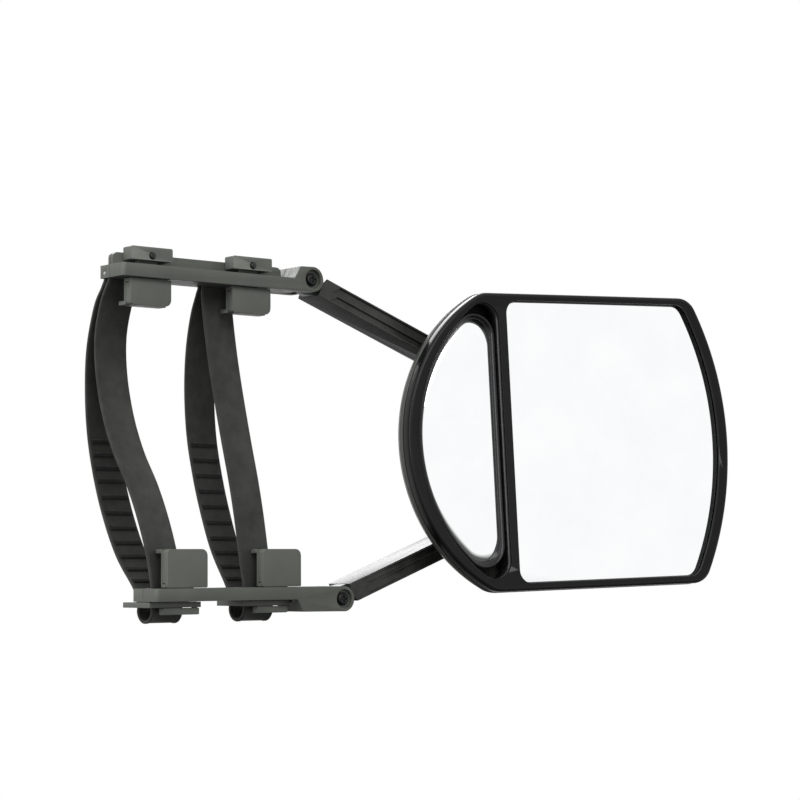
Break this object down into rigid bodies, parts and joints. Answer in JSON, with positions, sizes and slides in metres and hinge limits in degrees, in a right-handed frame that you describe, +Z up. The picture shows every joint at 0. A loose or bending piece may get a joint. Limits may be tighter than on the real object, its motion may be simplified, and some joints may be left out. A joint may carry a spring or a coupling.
{
  "type": "towing mirror",
  "caption": "Clip-on twin-glass towing mirror: two clamp trays with hooks and rubber straps, two arms, and a ball-jointed head beside the car's own door mirror.",
  "frame": {"origin": "underside of the upper clamp tray, midway between its two hook units, where it rests on the top edge of the car's door mirror", "axes": "+Z up, -Y the side of the glass that faces the driver, +X from the clamp toward the towing mirror head"},
  "size_m": [0.4057, 0.1215, 0.2016],
  "materials": {
    "plastic": "satin moulded",
    "gloss": "polished black",
    "rubber": "matt",
    "steel": "zinc plated",
    "dark_steel": "black oxide",
    "mirror": "silvered"
  },
  "bodies": {
    "upper_tray": {"upper_tray_front": "plastic", "upper_tray_rear": "plastic", "upper_joint_screw_1": "steel", "upper_joint_screw_2": "steel", "upper_pivot_screw": "dark_steel", "upper_pivot_nut": "steel", "strap_pin_1": "steel", "strap_pin_2": "steel", "strap_outboard": "rubber", "strap_inboard": "rubber"},
    "lower_tray": {"lower_tray_front": "plastic", "lower_tray_rear": "plastic", "lower_joint_screw_1": "steel", "lower_joint_screw_2": "steel", "lower_pivot_screw": "dark_steel", "lower_pivot_nut": "steel", "keeper_1": "plastic", "keeper_2": "plastic"},
    "upper_unit_1": {"upper_1_hook": "plastic", "upper_1_pad": "plastic", "adjuster_1": "plastic"},
    "upper_unit_2": {"upper_2_hook": "plastic", "upper_2_pad": "plastic", "adjuster_2": "plastic"},
    "lower_unit_1": {"lower_1_hook": "plastic", "lower_1_pad": "plastic"},
    "lower_unit_2": {"lower_2_hook": "plastic", "lower_2_pad": "plastic"},
    "latch_1": {"thumb_latch_1": "gloss"},
    "latch_2": {"thumb_latch_2": "gloss"},
    "lock_1": {"lock_plate_1": "plastic"},
    "lock_2": {"lock_plate_2": "plastic"},
    "upper_arm": {"upper_arm": "gloss", "upper_hub_screw": "dark_steel", "upper_hub_nut": "steel"},
    "lower_arm": {"lower_arm": "gloss", "lower_hub_screw": "dark_steel", "lower_hub_nut": "steel"},
    "hub": {"hub": "plastic", "stud_nut": "steel", "ball_stud": "steel"},
    "ball": {"ball_seat": "plastic"},
    "head": {"housing": "plastic", "bezel": "plastic", "main_glass": "mirror", "glass_backing": "plastic", "socket_cup": "plastic", "cup_screw_1": "steel", "cup_screw_2": "steel", "cup_screw_3": "steel", "blind_ball_post": "steel"},
    "blind_post": {"blind_seat": "plastic"},
    "blind_mirror": {"blind_carrier": "gloss", "blind_glass": "mirror"}
  },
  "joints": [
    {"name": "clamp_spread", "type": "slide", "parent": "upper_tray", "child": "lower_tray", "axis": [0, 0, -1], "range_m": [-0.02, 0.02], "deforming": ["strap_outboard", "strap_inboard"]},
    {"name": "upper_hook_1_slide", "type": "slide", "parent": "upper_tray", "child": "upper_unit_1", "axis": [1, 0, 0], "range_m": [-0.003, 0.003]},
    {"name": "upper_hook_2_slide", "type": "slide", "parent": "upper_tray", "child": "upper_unit_2", "axis": [1, 0, 0], "range_m": [-0.003, 0.003]},
    {"name": "lower_hook_1_slide", "type": "slide", "parent": "lower_tray", "child": "lower_unit_1", "axis": [1, 0, 0], "range_m": [-0.003, 0.003]},
    {"name": "lower_hook_2_slide", "type": "slide", "parent": "lower_tray", "child": "lower_unit_2", "axis": [1, 0, 0], "range_m": [-0.003, 0.003]},
    {"name": "thumb_press_1", "type": "slide", "parent": "upper_unit_1", "child": "latch_1", "axis": [0, 1, 0], "range_m": [0, 0.0012], "stiffness_N_per_m": 300},
    {"name": "thumb_press_2", "type": "slide", "parent": "upper_unit_2", "child": "latch_2", "axis": [0, 1, 0], "range_m": [0, 0.0012], "stiffness_N_per_m": 300},
    {"name": "lock_slide_1", "type": "slide", "parent": "lower_tray", "child": "lock_1", "axis": [0, -1, 0], "range_m": [0, 0.003]},
    {"name": "lock_slide_2", "type": "slide", "parent": "lower_tray", "child": "lock_2", "axis": [0, -1, 0], "range_m": [0, 0.003]},
    {"name": "upper_arm_turn", "type": "hinge", "parent": "upper_tray", "child": "upper_arm", "pos_m": [0.07435, 0, 0.0071], "axis": [0, 1, 0], "range_deg": [-4.2, 4.2]},
    {"name": "lower_arm_turn", "type": "hinge", "parent": "lower_tray", "child": "lower_arm", "pos_m": [0.09565, 0, -0.1731], "axis": [0, 1, 0], "range_deg": [-4.2, 4.2]},
    {"name": "hub_turn", "type": "hinge", "parent": "upper_arm", "child": "hub", "pos_m": [0.2247, 0, -0.04762], "axis": [0, 1, 0], "range_deg": [-4.2, 4.2]},
    {"name": "head_swing", "type": "hinge", "parent": "hub", "child": "ball", "pos_m": [0.23535, -0.02, -0.083], "axis": [0, 0, 1], "range_deg": [0, 15]},
    {"name": "head_tilt", "type": "hinge", "parent": "ball", "child": "head", "pos_m": [0.23535, -0.02, -0.083], "axis": [0.982, -0.1891, 0], "range_deg": [-3, 4]},
    {"name": "blind_swing", "type": "hinge", "parent": "head", "child": "blind_post", "pos_m": [0.16662, -0.02403, -0.08267], "axis": [-0.0196, 0.0411, 0.999], "range_deg": [-4, 4]},
    {"name": "blind_tilt", "type": "hinge", "parent": "blind_post", "child": "blind_mirror", "pos_m": [0.16662, -0.02403, -0.08267], "axis": [0.9818, -0.1881, 0.027], "range_deg": [-2, 2]}
  ],
  "couplings": [
    {"joint": "upper_arm_turn", "follows": "clamp_spread", "rad_per_m": 3.3256},
    {"joint": "lower_arm_turn", "follows": "clamp_spread", "rad_per_m": -3.3256},
    {"joint": "hub_turn", "follows": "clamp_spread", "rad_per_m": -3.3256}
  ]
}
